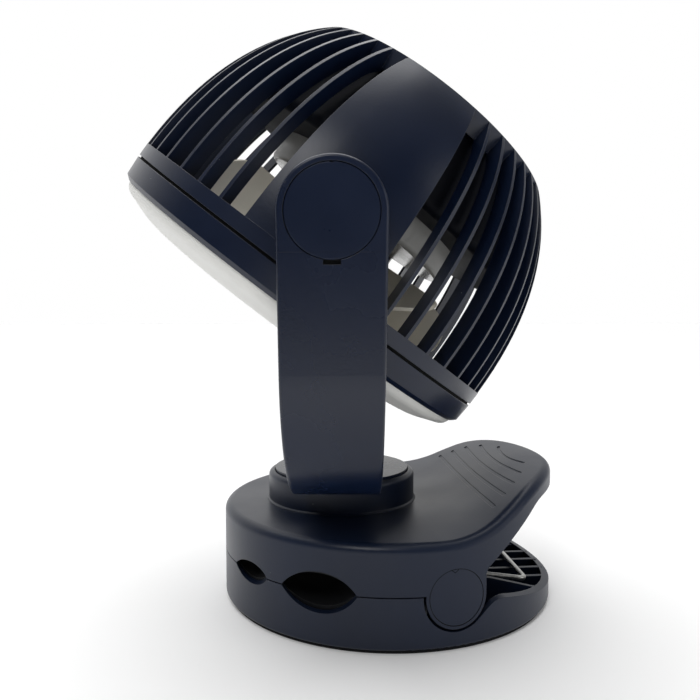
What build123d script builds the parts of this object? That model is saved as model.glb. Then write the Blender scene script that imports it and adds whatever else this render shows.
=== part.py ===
"""Rechargeable clip fan with a ring light.

Frame: +Z up, origin at the centre of the foot pad's underside, +X towards the clamp's lever, -X
towards its mouth, Y along the clamp's hinge. The yoke turns on the upper jaw, and the head tilts in
the yoke. Lengths are millimetres, angles degrees.
"""

import os
from math import atan2, cos, degrees, hypot, pi, radians, sin, sqrt, tan

from build123d import *

os.makedirs("parts", exist_ok=True)

# ---------------------------------------------------------------- driving dimensions: the clamp
clamp_radius = 66.0
jaw_wall = 2.8
jaw_floor = 2.6
foot_pad_inset = 1.4         # of the foot pad's edge from the clamp's side
foot_pad_thickness = 2.2
foot_reveal = 1.2            # how far the foot pad stands out below the lower jaw
seam_height = 19.2           # where the closed jaws meet
seam_gap = 0.4
jaw_top = 36.8
jaw_edge_round = 3.0
foot_edge_round = 1.2

hinge_x = 15.0
hinge_height = 18.2
ear_radius = 10.8
ear_gap = 0.9                # round the ear, in the lower jaw's U-shaped cut-out
ear_setback = 10.4           # of the ear's inner face from the clamp's radius
hinge_cover_radius = 9.6
hinge_cover_thickness = 2.2
cover_inset = 0.1            # of a cover's face below the wall round it
knuckle_thickness = 4.6
knuckle_radius = 7.5
pin_radius = 2.5
running_gap = 0.06           # radial, between a shaft and its bore
seat_gap = 0.05              # between a cover and the pocket that holds it
side_gap = 0.3               # between faces that slide past each other

tray_ramp_angle = 40.4       # lower jaw's rim where it leaves the ear's cut-out
tray_bend_x = 29.9
tray_tip = 4.5               # the rim behind the bend, carried on to the reach of the outline
tray_corner_round = 8.0
tray_rib_top = 7.4
tray_rib_spacing = 9.5
tray_rib_count = 5
tray_side_rib_y = 38.0       # two taller ribs that follow the rim
jaw_rib_thickness = 1.8
jaw_rib_y = 24.0
end_wall_x = -2.0
end_wall_thickness = 2.4

lever_root_x = 22.2          # where the lever's slope meets the flat top
lever_crest_x = 50.0
lever_top = 53.5
lever_root_round = 40.0
lever_crest_round = 42.0
skirt_root_height = 25.8
skirt_crest_x = 50.0
skirt_crest_height = 45.0
skirt_tip_height = 48.3
skirt_root_round = 4.0
skirt_crest_round = 12.0
lever_skin = 2.6
lever_rib_depth = 5.0
groove_count = 5
groove_tip_inset = 12.88     # from the clamp's radius to the last groove
groove_pitch = 5.08
groove_bow = 2.6             # the grooves bend more and more towards the lever's tip
groove_margin = 10.3         # from a groove's end to the lever's outline
groove_depth = 0.35
groove_width = 1.3

wide_notch_width = 24.9
wide_notch_depth = 7.0
wide_pad_depth = 5.2
narrow_notch_inset = 11.8    # from the clamp's radius to the middle of the narrow notch
notch_spacing = 23.4
narrow_notch_width = 11.8
narrow_notch_depth = 3.9
narrow_pad_depth = 2.7
grip_pad_thickness = 2.2
grip_pad_gap = 0.3           # half of the space between the closed pads
grip_pad_end_x = -1.0

spring_wire = 2.0
spring_coil_radius = 4.3     # to the middle of the wire
spring_turns = 3
spring_pitch = 2.3
spring_coil_y = 25.5         # inner end of each coil
spring_bridge_inset = 14.5   # from the clamp's radius
spring_corner_round = 2.5
spring_arm_inset = 24.0      # from the clamp's radius to the arms' ends
spring_arm_drop = 14.0       # from the lever's top to the middle of the arm's end

# ---------------------------------------------------------------- driving dimensions: the swivel
turret_x = -18.6
turret_radius = 29.8
turret_top = 48.4
turret_wall = 2.6
turret_round = 1.9
turret_flare = 0.7
turret_plate = 3.0
turret_access_radius = 16.0
swivel_disc_radius = 27.2
swivel_disc_pocket = 1.4
swivel_disc_top = 49.4
swivel_lift = 0.1            # between the disc and the turret's plate
swivel_hub_radius = 9.0
swivel_wire_radius = 5.4
retainer_radius = 14.0
retainer_thickness = 2.0
friction_washer_thickness = 0.6
swivel_screw_circle = 7.2
swivel_screw_radius = 0.9
turret_boss_circle = 22.0
turret_boss_radius = 3.4
turret_screw_radius = 1.2
turret_screw_head = 1.6
turret_screw_length = 9.0
swivel_screw_head = 1.0
swivel_screw_length = 4.5    # of the hole in the swivel disc's hub
screw_head_ratio = 1.9

# ---------------------------------------------------------------- driving dimensions: the yoke
rest_swivel = -6.25
pivot_lift = 7.0             # of the pivot above the yoke's floor, beyond the head's radius
arm_clearance = 6.0          # from the head's radius to an arm's outer face
arm_thickness = 4.6
arm_bend_radius = 45.0
arm_top_half_width = 16.5
arm_foot_half_width = 15.0
arm_edge_round = 1.2
arm_cover_radius = 14.2
arm_cover_thickness = 1.2
cover_chamfer = 0.4
arm_pocket_radius = 12.0
arm_pocket_depth = 3.0
pry_slot_width = 5.2
pry_slot_height = 1.9
pry_slot_offset = 0.3        # of the slot's middle beyond the cover's edge
cover_mark_radius = 0.9      # bite out of the top of a cover
cover_mark_offset = 0.35

# ---------------------------------------------------------------- driving dimensions: the head
rest_tilt = 52.9             # of the head's axis above the horizontal
seam_to_pivot = 21.7
head_radius = 81.0
dome_height = 100.3
dome_power = 2.25
dome_top = 79.9
flange_height = 5.5
head_seam_gap = 1.0
seam_groove_depth = 0.9
shell_wall = 2.2
rib_count = 48               # rib places in a full turn, the side strips included
strip_half_places = 2        # places from a strip's middle to its edge
rib_thickness = 1.2
rib_depth = 5.6
rim_wall = 2.0
rim_lip = 3.333              # width of the rim round the cap
rim_depth = 7.5
cap_thickness = 2.6
cap_inset = 0.5
cap_chamfer = 0.6
cap_ring_height = 2.2        # ring under the cap, which rests on the rim's ledge
cap_ring_width = 9.6
trunnion_radius = 12.0
trunnion_depth = 7.0         # how far each boss reaches inside the head's radius
journal_radius = 7.9
pivot_screw_radius = 1.9
pivot_screw_head = 1.0
pivot_washer_radius = 11.0
pivot_washer_thickness = 0.5

pod_gap = 8.0                # from the dome's outline in to the pod's wall
pod_edge_height = 44.5       # where on that outline the pod's wall starts
pod_wall = 2.0
pod_floor = 2.5
pod_round = 3.0
pod_shoulder_reach = 0.3     # of the pod's shoulder beyond the cap's recess
pod_boss_radius = 3.2
pod_boss_depth = 9.0
board_post_inset = 3.0       # from the board's edge
board_post_angle = 30.0
board_post_radius = 2.4
board_pin_radius = 1.8
cradle_rib_y = 22.0
cup_radius = 42.0            # light cup under the pod, which holds the motor
cup_bottom = 31.0
cup_floor = 2.5
cup_wall = 2.0
cup_round = 2.0
cup_boss_inset = 4.6
cup_boss_radius = 3.2
cup_screw_radius = 1.2
cup_screw_head = 1.4
cup_screw_length = 8.0
motor_radius = 20.0
motor_boss_radius = 4.0
motor_boss_stand = 0.6
motor_screw_circle = 10.0
motor_screw_radius = 1.0
motor_screw_head = 1.2
motor_screw_grip = 2.5
shaft_radius = 1.5
shaft_top = 40.0
battery_radius = 9.2
battery_length = 65.0
cell_gap = 0.4
cradle_thickness = 1.8
cradle_width = 40.0
cradle_length = 58.0
cradle_side_height = 6.0
cradle_lift = 5.654          # of the cradle above the pod's floor
board_inset = 13.1           # of the board's edge from the cap's recess
board_thickness = 1.6
board_drop = 5.2             # of the board's underside below the cap's
switch_size = 6.0
switch_height = 1.5
button_flange_width = 1.0
button_flange_thickness = 0.8
button_edge_round = 0.5
button_stem_radius = 1.6
button_radius = 5.0
button_stand = 0.9           # how far a button stands out of the cap
button_travel = 0.7
button_spread = 14.0
usb_width = 9.0
usb_thickness = 3.3
usb_offset = 26.0
usb_inset = 0.2
usb_wall = 0.35
usb_depth = 5.0
usb_tongue_width = 6.2
usb_tongue_thickness = 0.7
charge_window_radius = 1.2
charge_window_offset = 14.0
cap_screw_inset = 5.8
cap_screw_radius = 1.2
cap_screw_head = 1.3
cap_screw_grip = 5.0         # length of the screw inside the pod's boss

ring_depth = 9.2
ring_wall = 2.4
ring_side = 7.2
ring_taper = 0.4
ring_bevel = 1.6
spigot_wall = 2.3
ring_shelf = 2.0
ring_light_width = 23.4      # from the head's radius to the wall round the air outlet
duct_wall = 1.6
duct_depth = 13.0
lens_depth = 16.9
lens_shoulder_depth = 11.8
lens_slope_run = 12.8
lens_shoulder_round = 4.0
lens_crown_round = 20.0
lens_wall = 1.8
led_board_inner_gap = 2.4    # to the wall round the air outlet
led_board_outer_gap = 0.5    # to the light ring
led_board_thickness = 1.6
led_count = 36
led_size = 2.8
led_height = 0.8
grille_depth = 3.4
grille_hub_radius = 17.0
grille_cap_radius = 14.5
vane_count = 30
vane_thickness = 1.2
vane_sweep = 28.0
grille_cap_inset = 0.4
grille_cap_thickness = 1.8
grille_ring_radius = 38.0

blade_count = 7
blade_thickness = 1.3
blade_root_radius = 16.0
blade_tip_gap = 0.6          # from the blades' tips to the outside of the air outlet's wall
blade_middle = 13.2          # height of the blades' middle above the seam plane
blade_height = 20.4
blade_corner_round = 7.0
blade_root_chord = 27.0
blade_root_pitch = 48.0
blade_tip_chord = 46.0
blade_tip_pitch = 28.0
hub_radius = 20.0
hub_bottom = 2.0
hub_top = 25.0
hub_wall = 2.0
hub_round = 3.0
hub_core_radius = 4.0
hub_core_top = 28.5
hub_clip_radius = 4.5
hub_clip_height = 2.4

reach = 75.0                 # half length of the sketches that a round outline trims

# ---------------------------------------------------------------- planes that the pieces share
side_plane = Plane.XZ
jaw_bottom = foot_reveal
lower_rim = seam_height - seam_gap / 2
upper_rim = seam_height + seam_gap / 2
tray_floor = jaw_bottom + jaw_floor
cavity_radius = clamp_radius - jaw_wall
foot_pad_radius = clamp_radius - foot_pad_inset
ear_inner = clamp_radius - ear_setback
narrow_notch_x = narrow_notch_inset - clamp_radius
wide_notch_x = narrow_notch_x + notch_spacing
groove_first_x = clamp_radius - groove_tip_inset - (groove_count - 1) * groove_pitch
spring_bridge_x = clamp_radius - spring_bridge_inset
spring_arm_x = clamp_radius - spring_arm_inset
ear_cut_radius = ear_radius + ear_gap
tray_ramp = radians(tray_ramp_angle)
tray_ramp_x = hinge_x + ear_cut_radius * sin(tray_ramp)
tray_ramp_z = hinge_height - ear_cut_radius * cos(tray_ramp)
tray_bend_z = tray_ramp_z + (tray_bend_x - tray_ramp_x) * tan(tray_ramp)
pad_top = seam_height - grip_pad_gap
pad_bottom = pad_top - grip_pad_thickness
cover_floor_radius = clamp_radius - hinge_cover_thickness
notch_list = [
    (wide_notch_x, wide_notch_width, wide_notch_depth, wide_pad_depth),
    (narrow_notch_x, narrow_notch_width, narrow_notch_depth, narrow_pad_depth),
]

arm_face_y = head_radius + arm_clearance
pivot_height = swivel_disc_top + arm_thickness + head_radius + pivot_lift
trunnion_root = head_radius - trunnion_depth
duct_radius = head_radius - ring_light_width
blade_tip_radius = duct_radius - blade_tip_gap
cup_boss_circle = cup_radius - cup_boss_inset

yoke_frame = Plane(
    origin=(turret_x, 0, 0),
    x_dir=(cos(radians(rest_swivel)), sin(radians(rest_swivel)), 0),
    z_dir=(0, 0, 1),
)
across = yoke_frame.x_dir
far_side = yoke_frame.y_dir
head_up = across * cos(radians(rest_tilt)) + Vector(0, 0, 1) * sin(radians(rest_tilt))
head_down = across * sin(radians(rest_tilt)) - Vector(0, 0, 1) * cos(radians(rest_tilt))
pivot_centre = Vector(turret_x, 0, pivot_height)
seam_centre = pivot_centre - head_up * seam_to_pivot
head_frame = Plane(origin=seam_centre, x_dir=head_down, z_dir=head_up)
head_axis = Axis(seam_centre, head_up)
pivot_frame = Plane(origin=pivot_centre, x_dir=across, z_dir=far_side)
yoke_side = Plane(origin=(turret_x, 0, 0), x_dir=across, z_dir=-far_side)
yoke_front = Plane(origin=(turret_x, 0, 0), x_dir=far_side, z_dir=across)


def head_level(height):
    """The plane across the head's axis at a height above its seam."""
    return head_frame.offset(height)


def head_section(angle=0):
    """A plane through the head's axis: x is the radius, y the height above the seam."""
    turn = radians(angle)
    outward = head_frame.x_dir * cos(turn) + head_frame.y_dir * sin(turn)
    return Plane(origin=seam_centre, x_dir=outward, z_dir=outward.cross(head_up))


def arc_radius(width, depth):
    """Radius of the arc with this chord and this rise."""
    return (width**2 / 4 + depth**2) / (2 * depth)


# ================================================================ lower clamp
with BuildPart() as foot_pad:
    with BuildSketch():
        Circle(foot_pad_radius)
    extrude(amount=foot_pad_thickness)
foot_pad.part.label = "foot_pad"
export_step(foot_pad.part, "parts/foot_pad.step")


def lower_side_profile():
    """Side view of the lower jaw: flat in front, a U round the ear, then the falling tray rim."""
    with BuildSketch() as profile:
        with BuildLine():
            FilletPolyline(
                (-reach, jaw_bottom),
                (-reach, lower_rim),
                (hinge_x, lower_rim),
                (hinge_x, hinge_height),
                (tray_ramp_x, tray_ramp_z),
                (tray_bend_x, tray_bend_z),
                (reach, tray_tip),
                (reach, jaw_bottom),
                radius=(0, 0, 0, 0, 0, tray_corner_round, 0, 0),
                close=True,
            )
        make_face()
        with Locations((hinge_x, hinge_height)):
            Circle(ear_cut_radius, mode=Mode.SUBTRACT)
    return profile.sketch


with BuildPart() as lower_jaw:
    with BuildSketch(side_plane):
        add(lower_side_profile())
    extrude(amount=reach, both=True)
    with BuildSketch():
        Circle(clamp_radius)
    extrude(amount=jaw_top, mode=Mode.INTERSECT)
    bottom_edge = lower_jaw.faces().sort_by(Axis.Z)[0].edges()
    fillet(bottom_edge, foot_edge_round)
    with BuildSketch(Plane.XY.offset(tray_floor)):
        Circle(cavity_radius)
    extrude(amount=jaw_top, mode=Mode.SUBTRACT)
    with BuildSketch(Plane.XY.offset(jaw_bottom)):
        Circle(foot_pad_radius + seat_gap)
    extrude(amount=foot_pad_thickness - foot_reveal, mode=Mode.SUBTRACT)
    # cross wall that closes the mouth side off from the hinge
    with BuildSketch(Plane.XY.offset(tray_floor)):
        with Locations((end_wall_x, 0)):
            Rectangle(end_wall_thickness, 2 * cavity_radius + jaw_wall)
    extrude(amount=pad_bottom - tray_floor)
    # two long ribs carry the grip pad
    for rib_y in (-jaw_rib_y, jaw_rib_y):
        rib_start = -sqrt(cavity_radius**2 - jaw_rib_y**2) - jaw_wall / 2
        with BuildSketch(side_plane.offset(rib_y)):
            with BuildLine():
                Polyline(
                    (rib_start, tray_floor),
                    (rib_start, pad_bottom),
                    (end_wall_x, pad_bottom),
                    (end_wall_x, tray_floor),
                    close=True,
                )
            make_face()
            for notch_x, width, _, depth in notch_list:
                bend = arc_radius(width, depth)
                with Locations((notch_x, pad_top - depth + bend)):
                    Circle(bend + grip_pad_thickness, mode=Mode.SUBTRACT)
        extrude(amount=jaw_rib_thickness / 2, both=True)
    # tray ribs under the lever
    for index in range(tray_rib_count):
        rib_y = (index - (tray_rib_count - 1) / 2) * tray_rib_spacing
        rib_end = sqrt(cavity_radius**2 - rib_y**2) + jaw_wall / 2
        with BuildSketch(side_plane.offset(-rib_y)):
            with Locations((end_wall_x, tray_floor)):
                Rectangle(rib_end - end_wall_x, tray_rib_top - tray_floor, align=(Align.MIN, Align.MIN))
        extrude(amount=jaw_rib_thickness / 2, both=True)
    for rib_y in (-tray_side_rib_y, tray_side_rib_y):
        rib_end = sqrt(cavity_radius**2 - rib_y**2) + jaw_wall / 2
        with BuildSketch(side_plane.offset(-rib_y)):
            add(lower_side_profile())
            with Locations((tray_ramp_x, tray_floor - jaw_floor / 2)):
                Rectangle(rib_end - tray_ramp_x, jaw_top, align=(Align.MIN, Align.MIN), mode=Mode.INTERSECT)
        extrude(amount=jaw_rib_thickness / 2, both=True)
    # knuckles that carry the hinge pin
    knuckle_outer = ear_inner - side_gap
    for side in (-1, 1):
        middle = side * (knuckle_outer - knuckle_thickness / 2)
        with BuildSketch(side_plane.offset(-middle)):
            with Locations((hinge_x, hinge_height)):
                Circle(knuckle_radius)
            with Locations((hinge_x, (tray_floor + hinge_height) / 2)):
                Rectangle(2 * knuckle_radius, hinge_height - tray_floor)
        extrude(amount=knuckle_thickness / 2, both=True)
    with BuildSketch(side_plane):
        with Locations((hinge_x, hinge_height)):
            Circle(pin_radius + seat_gap / 2)
    extrude(amount=knuckle_outer + 1, both=True, mode=Mode.SUBTRACT)
    # grip notches, right through both side walls
    with BuildSketch(side_plane):
        for notch_x, width, depth, _ in notch_list:
            bend = arc_radius(width, depth)
            with Locations((notch_x, seam_height - depth + bend)):
                Circle(bend)
    extrude(amount=reach, both=True, mode=Mode.SUBTRACT)
lower_jaw.part.label = "lower_jaw"
export_step(lower_jaw.part, "parts/lower_jaw.step")

with BuildPart() as lower_grip_pad:
    with BuildSketch(side_plane):
        with BuildLine():
            Polyline(
                (-reach, pad_bottom),
                (-reach, pad_top),
                (grip_pad_end_x, pad_top),
                (grip_pad_end_x, pad_bottom),
                close=True,
            )
        make_face()
        for notch_x, width, _, depth in notch_list:
            bend = arc_radius(width, depth)
            with Locations((notch_x, pad_top - depth + bend)):
                Circle(bend + grip_pad_thickness)
        with Locations((0, pad_top)):
            Rectangle(2 * reach, 2 * reach, align=(Align.CENTER, Align.MIN), mode=Mode.SUBTRACT)
        for notch_x, width, _, depth in notch_list:
            bend = arc_radius(width, depth)
            with Locations((notch_x, pad_top - depth + bend)):
                Circle(bend, mode=Mode.SUBTRACT)
    extrude(amount=reach, both=True)
    with BuildSketch():
        Circle(cavity_radius - seat_gap)
    extrude(amount=jaw_top, mode=Mode.INTERSECT)
lower_grip_pad.part.label = "lower_grip_pad"
export_step(lower_grip_pad.part, "parts/lower_grip_pad.step")

pin_half_length = sqrt((clamp_radius - hinge_cover_thickness) ** 2 - (hinge_x + pin_radius) ** 2) - side_gap
with BuildPart() as hinge_pin:
    with BuildSketch(side_plane):
        with Locations((hinge_x, hinge_height)):
            Circle(pin_radius)
    extrude(amount=pin_half_length, both=True)
hinge_pin.part.label = "hinge_pin"
export_step(hinge_pin.part, "parts/hinge_pin.step")

# double torsion spring: two coils on the pin, a bridge on the tray ribs, two arms under the lever
spring_bridge_z = tray_rib_top + spring_wire / 2 + side_gap


def tangent_angle(target_x, target_z, below):
    """Angle on the coil at which a straight arm leaves it for a point, in the side view."""
    run = hypot(target_x - hinge_x, target_z - hinge_height)
    rise = degrees(atan2(target_z - hinge_height, target_x - hinge_x))
    spread = degrees(atan2(sqrt(run**2 - spring_coil_radius**2), spring_coil_radius))
    return rise - spread if below else rise + spread


def on_coil(angle, y):
    """A point of the coil's middle line, seen along the hinge."""
    return Vector(
        hinge_x + spring_coil_radius * cos(radians(angle)),
        y,
        hinge_height + spring_coil_radius * sin(radians(angle)),
    )


spring_arm_z = lever_top - spring_arm_drop
bridge_angle = tangent_angle(spring_bridge_x, spring_bridge_z, below=True)
arm_angle = tangent_angle(spring_arm_x, spring_arm_z, below=False)
coil_turns = spring_turns + (bridge_angle - arm_angle) / 360
coil_height = coil_turns * spring_pitch
bridge_start = on_coil(bridge_angle, spring_coil_y)
arm_start = on_coil(arm_angle, spring_coil_y + coil_height)
bridge_corner = Vector(spring_bridge_x, spring_coil_y, spring_bridge_z)
arm_end = Vector(spring_arm_x, spring_coil_y + coil_height, spring_arm_z)
coil_plane = Plane(
    origin=(hinge_x, spring_coil_y, hinge_height),
    x_dir=(cos(radians(bridge_angle)), 0, sin(radians(bridge_angle))),
    z_dir=(0, 1, 0),
)
with BuildLine() as coil_line:
    Helix(spring_pitch, coil_height, spring_coil_radius)
coil_wire = coil_plane * coil_line.wires()[0]
with BuildPart() as clamp_spring:
    with BuildSketch(Plane(origin=coil_wire @ 0, z_dir=coil_wire % 0)):
        Circle(spring_wire / 2)
    sweep(path=coil_wire)
    with BuildLine() as arm_line:
        Line(arm_start, arm_end)
    with BuildSketch(Plane(origin=arm_start, z_dir=arm_line.line % 0)):
        Circle(spring_wire / 2)
    sweep(path=arm_line.line)
    with BuildLine() as bridge_line:
        FilletPolyline(
            bridge_start,
            bridge_corner,
            Vector(spring_bridge_x, 0, spring_bridge_z),
            radius=spring_corner_round,
        )
    with BuildSketch(Plane(origin=bridge_start, z_dir=bridge_line.line % 0)):
        Circle(spring_wire / 2)
    sweep(path=bridge_line.line)
    mirror(about=Plane.XZ)
clamp_spring.part.label = "clamp_spring"
export_step(clamp_spring.part, "parts/clamp_spring.step")

# ================================================================ upper clamp
upper_pad_top = 2 * seam_height - pad_bottom
skin_underside = jaw_top - lever_skin
lever_rib_y = spring_coil_y + coil_height


def upper_side_profile(drop):
    """Side view of the upper jaw down to the ground, its top lowered by drop."""
    with BuildSketch() as profile:
        with BuildLine():
            FilletPolyline(
                (-reach, 0),
                (-reach, jaw_top - drop),
                (lever_root_x, jaw_top - drop),
                (lever_crest_x, lever_top - drop),
                (reach, lever_top - drop),
                (reach, 0),
                radius=(0, 0, lever_root_round, lever_crest_round, 0, 0),
                close=True,
            )
        make_face()
    return profile.sketch


def hinge_discs(radius, inner_radius, outer_radius):
    """Two round plugs about the hinge line, between two cylinders about the clamp's axis."""
    with BuildPart() as discs:
        with BuildSketch(side_plane):
            with Locations((hinge_x, hinge_height)):
                Circle(radius)
        extrude(amount=reach, both=True)
        with BuildSketch():
            Circle(outer_radius)
            if inner_radius:
                Circle(inner_radius, mode=Mode.SUBTRACT)
        extrude(amount=jaw_top, mode=Mode.INTERSECT)
    return discs.part


with BuildPart() as hinge_ears:
    add(hinge_discs(ear_radius, 0, clamp_radius))
    with BuildSketch():
        Rectangle(2 * reach, 2 * ear_inner)
    extrude(amount=jaw_top, mode=Mode.SUBTRACT)

with BuildPart() as finger_grooves:
    with BuildSketch(Plane.XY.offset(jaw_top)):
        for index in range(groove_count):
            chord_x = groove_first_x + index * groove_pitch
            half_chord = sqrt((clamp_radius - groove_margin) ** 2 - chord_x**2)
            middle_x = chord_x - groove_bow * (index + 1) / groove_count
            with BuildLine(mode=Mode.PRIVATE):
                groove = ThreePointArc((chord_x, -half_chord), (middle_x, 0), (chord_x, half_chord))
            SlotArc(groove, groove_width)
    extrude(amount=lever_top)
    with BuildSketch(side_plane):
        add(upper_side_profile(groove_depth))
    extrude(amount=reach, both=True, mode=Mode.SUBTRACT)

with BuildPart() as jaw_cavity:
    with BuildSketch(side_plane):
        add(upper_side_profile(lever_skin))
    extrude(amount=reach, both=True)
    with BuildSketch():
        Circle(cavity_radius)
    extrude(amount=reach, mode=Mode.INTERSECT)

with BuildPart() as upper_jaw:
    with BuildSketch(side_plane):
        add(upper_side_profile(0))
    extrude(amount=reach, both=True)
    with BuildSketch(side_plane):
        with BuildLine():
            FilletPolyline(
                (-reach, -1),
                (-reach, upper_rim),
                (hinge_x + ear_radius, upper_rim),
                (hinge_x + ear_radius, skirt_root_height),
                (skirt_crest_x, skirt_crest_height),
                (reach, skirt_tip_height),
                (reach, -1),
                radius=(0, 0, 0, skirt_root_round, skirt_crest_round, 0, 0),
                close=True,
            )
        make_face()
    extrude(amount=reach, both=True, mode=Mode.SUBTRACT)
    with BuildSketch():
        Circle(clamp_radius)
    extrude(amount=reach, mode=Mode.INTERSECT)
    top_faces = upper_jaw.faces().filter_by(lambda face: face.normal_at().Z > 0.5)
    top_rim = top_faces.edges().filter_by(
        lambda edge: abs(hypot((edge @ 0.5).X, (edge @ 0.5).Y) - clamp_radius) < 0.01
    )
    fillet(top_rim, jaw_edge_round)
    add(jaw_cavity.part, mode=Mode.SUBTRACT)
    # ribs: two over the grip pad, four under the lever, and a cross wall by the hinge
    for rib_y in (-jaw_rib_y, jaw_rib_y):
        rib_start = -sqrt(cavity_radius**2 - jaw_rib_y**2) - jaw_wall / 2
        with BuildSketch(side_plane.offset(rib_y)):
            with Locations((rib_start, upper_pad_top)):
                Rectangle(
                    end_wall_x - rib_start,
                    skin_underside + lever_skin / 2 - upper_pad_top,
                    align=(Align.MIN, Align.MIN),
                )
            for notch_x, width, _, depth in notch_list:
                bend = arc_radius(width, depth)
                with Locations((notch_x, 2 * seam_height - pad_top + depth - bend)):
                    Circle(bend + grip_pad_thickness, mode=Mode.SUBTRACT)
        extrude(amount=jaw_rib_thickness / 2, both=True)
    with BuildSketch(Plane.XY.offset(upper_pad_top)):
        with Locations((end_wall_x, 0)):
            Rectangle(end_wall_thickness, 2 * cavity_radius + jaw_wall)
    extrude(amount=skin_underside + lever_skin / 2 - upper_pad_top)
    for rib_y in (-lever_rib_y, -lever_rib_y / 3, lever_rib_y / 3, lever_rib_y):
        rib_end = sqrt(cavity_radius**2 - rib_y**2) + jaw_wall / 2
        with BuildSketch(side_plane.offset(rib_y)):
            add(upper_side_profile(lever_skin / 2))
            add(upper_side_profile(lever_skin + lever_rib_depth), mode=Mode.SUBTRACT)
            with Locations(((end_wall_x + rib_end) / 2, lever_top)):
                Rectangle(rib_end - end_wall_x, 2 * lever_top, mode=Mode.INTERSECT)
        extrude(amount=jaw_rib_thickness / 2, both=True)
    add(hinge_ears.part)
    add(hinge_discs(hinge_cover_radius + seat_gap, cover_floor_radius - seat_gap, reach), mode=Mode.SUBTRACT)
    with BuildSketch(side_plane):
        with Locations((hinge_x, hinge_height)):
            Circle(pin_radius + running_gap)
    extrude(amount=reach, both=True, mode=Mode.SUBTRACT)
    with BuildSketch(side_plane):
        for notch_x, width, depth, _ in notch_list:
            bend = arc_radius(width, depth)
            with Locations((notch_x, seam_height + depth - bend)):
                Circle(bend)
    extrude(amount=reach, both=True, mode=Mode.SUBTRACT)
    add(finger_grooves.part, mode=Mode.SUBTRACT)
    # way up into the turret, and the turret's screw holes
    with BuildSketch(Plane.XY.offset(skin_underside - 1)):
        with Locations((turret_x, 0)):
            Circle(turret_access_radius)
            with PolarLocations(turret_boss_circle, 3):
                Circle(turret_screw_radius + seat_gap)
    extrude(amount=2 * lever_skin, mode=Mode.SUBTRACT)
upper_jaw.part.label = "upper_jaw"
export_step(upper_jaw.part, "parts/upper_jaw.step")

with BuildPart() as upper_grip_pad:
    mirror(lower_grip_pad.part, about=Plane.XY.offset(seam_height))
upper_grip_pad.part.label = "upper_grip_pad"
export_step(upper_grip_pad.part, "parts/upper_grip_pad.step")

with BuildPart() as hinge_covers:
    add(hinge_discs(hinge_cover_radius, cover_floor_radius, clamp_radius - cover_inset))
with BuildPart() as hinge_cover_near:
    add(hinge_covers.part.solids().sort_by(Axis.Y)[0])
hinge_cover_near.part.label = "hinge_cover_near"
export_step(hinge_cover_near.part, "parts/hinge_cover_near.step")
with BuildPart() as hinge_cover_far:
    add(hinge_covers.part.solids().sort_by(Axis.Y)[-1])
hinge_cover_far.part.label = "hinge_cover_far"
export_step(hinge_cover_far.part, "parts/hinge_cover_far.step")

# ================================================================ swivel
turret_floor = turret_top - swivel_disc_pocket
plate_underside = turret_floor - turret_plate
disc_underside = turret_floor + swivel_lift
retainer_top = plate_underside - swivel_lift - friction_washer_thickness

with BuildPart() as swivel_turret:
    with BuildSketch(Plane.XY.offset(jaw_top)):
        with Locations((turret_x, 0)):
            Circle(turret_radius)
    extrude(amount=turret_top - jaw_top)
    fillet(swivel_turret.faces().sort_by(Axis.Z)[-1].edges(), turret_round)
    with BuildSketch(Plane.XY.offset(jaw_top)):
        with Locations((turret_x, 0)):
            Circle(turret_radius + turret_flare)
    extrude(amount=turret_flare, taper=45)
    with BuildSketch(Plane.XY.offset(turret_floor)):
        with Locations((turret_x, 0)):
            Circle(swivel_disc_radius + side_gap)
    extrude(amount=swivel_disc_pocket, mode=Mode.SUBTRACT)
    with BuildSketch(Plane.XY.offset(jaw_top)):
        with Locations((turret_x, 0)):
            Circle(turret_radius - turret_wall)
    extrude(amount=plate_underside - jaw_top, mode=Mode.SUBTRACT)
    with BuildSketch(Plane.XY.offset(jaw_top)):
        with Locations((turret_x, 0)):
            with PolarLocations(turret_boss_circle, 3):
                Circle(turret_boss_radius)
    extrude(amount=turret_floor - jaw_top - turret_plate / 2)
    with BuildSketch(Plane.XY.offset(jaw_top)):
        with Locations((turret_x, 0)):
            with PolarLocations(turret_boss_circle, 3):
                Circle(turret_screw_radius + seat_gap)
    extrude(amount=plate_underside - jaw_top, mode=Mode.SUBTRACT)
    with BuildSketch(Plane.XY.offset(jaw_top)):
        with Locations((turret_x, 0)):
            Circle(swivel_hub_radius + running_gap)
    extrude(amount=turret_top, mode=Mode.SUBTRACT)
swivel_turret.part.label = "swivel_turret"
export_step(swivel_turret.part, "parts/swivel_turret.step")


def screw_set(plane, centre, circle, count, radius, head_height, length, start_angle=0):
    """Pan-head screws on a circle: the heads stand on the plane, the shanks go below it."""
    with BuildPart() as screws:
        for height, depth, size in ((0, head_height, radius * screw_head_ratio), (0, -length, radius)):
            with BuildSketch(plane.offset(height)):
                with Locations(centre):
                    with PolarLocations(circle, count, start_angle=start_angle):
                        Circle(size)
            extrude(amount=depth)
    return screws.part


with BuildPart() as turret_screws:
    add(
        screw_set(
            Plane(origin=(turret_x, 0, skin_underside), x_dir=(1, 0, 0), z_dir=(0, 0, -1)),
            (0, 0),
            turret_boss_circle,
            3,
            turret_screw_radius,
            turret_screw_head,
            turret_screw_length,
        )
    )
turret_screws.part.label = "turret_screws"
export_step(turret_screws.part, "parts/turret_screws.step")

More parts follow.
